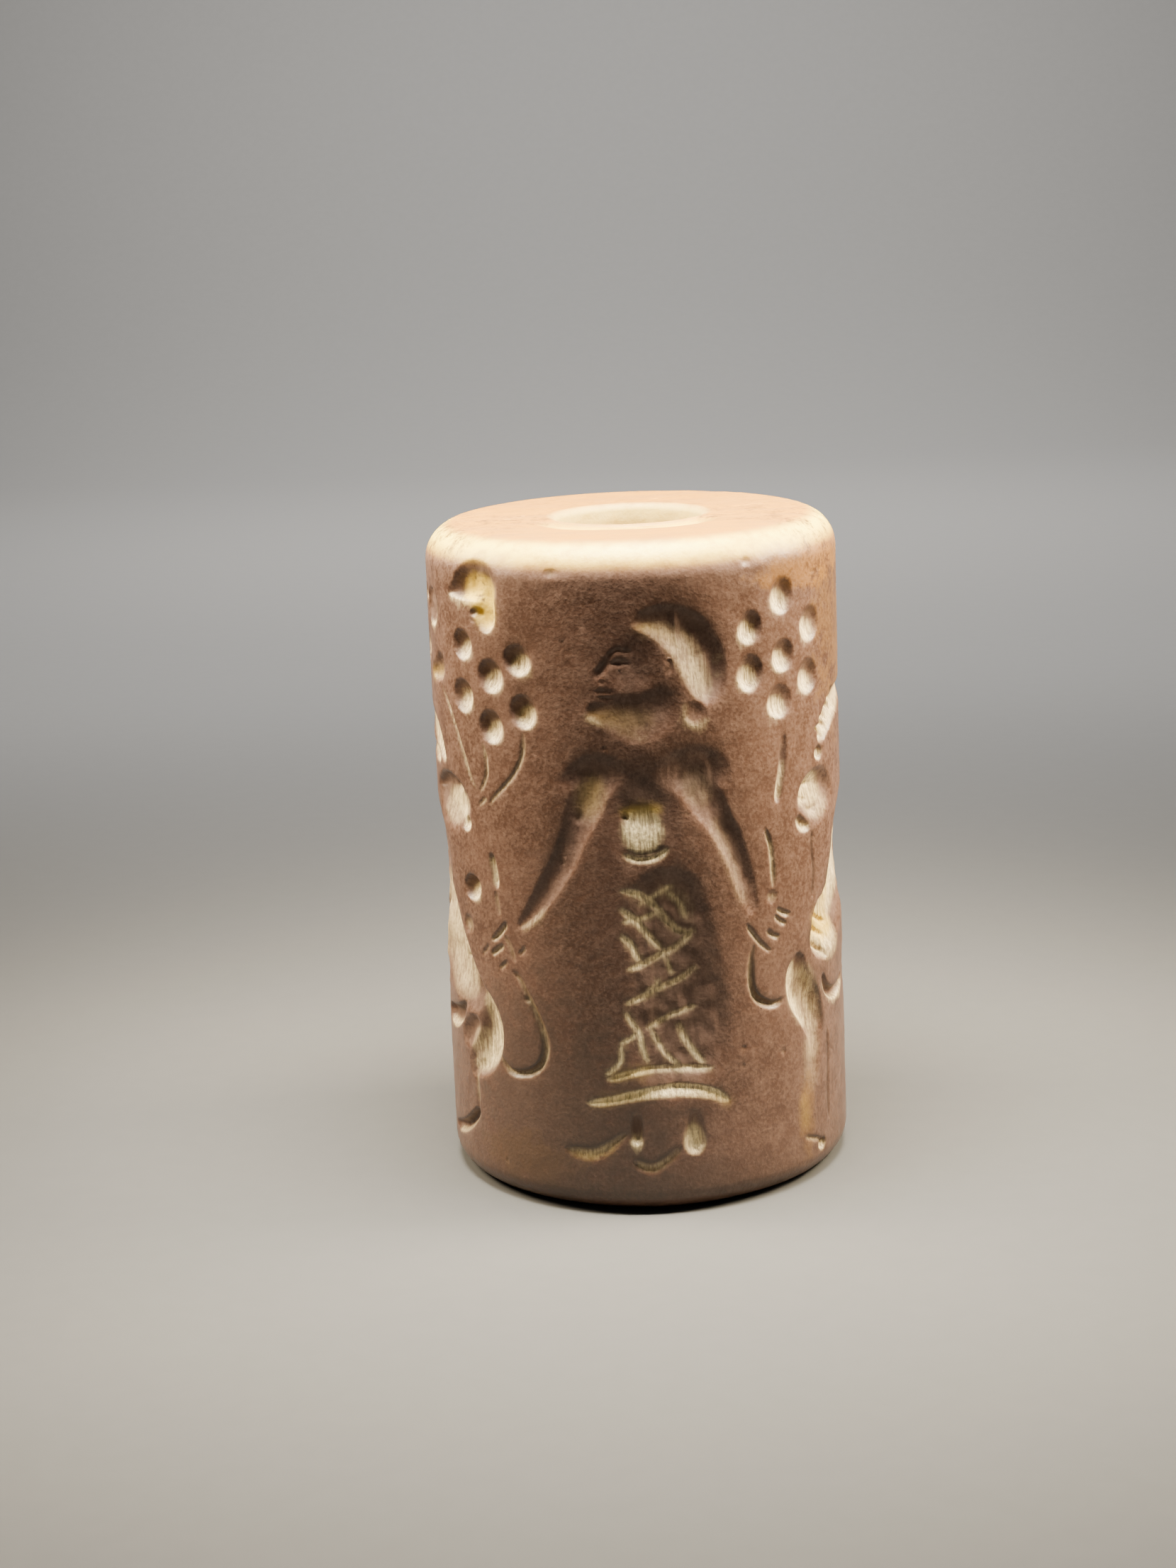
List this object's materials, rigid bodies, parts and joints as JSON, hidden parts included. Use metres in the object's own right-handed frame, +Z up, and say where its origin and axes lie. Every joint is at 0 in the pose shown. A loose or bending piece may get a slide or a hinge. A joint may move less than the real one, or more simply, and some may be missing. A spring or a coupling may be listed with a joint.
{
  "type": "cylinder seal",
  "caption": "Carved stone cylinder seal, pierced along its axis, that prints its sunk scene when rolled over soft clay. It stands on its flat end.",
  "frame": {"origin": "centre of the foot, on the surface that the seal stands on", "axes": "+Z up along the perforation, -Y the front with the standing figure, +X to the right seen from the front"},
  "size_m": [0.017, 0.017, 0.0275],
  "materials": {
    "stone": "red-brown stone worn to a satin gloss, with pale dust and yellow-brown earth left in the carving"
  },
  "bodies": {
    "root": {"seal_body": "stone"}
  },
  "joints": []
}
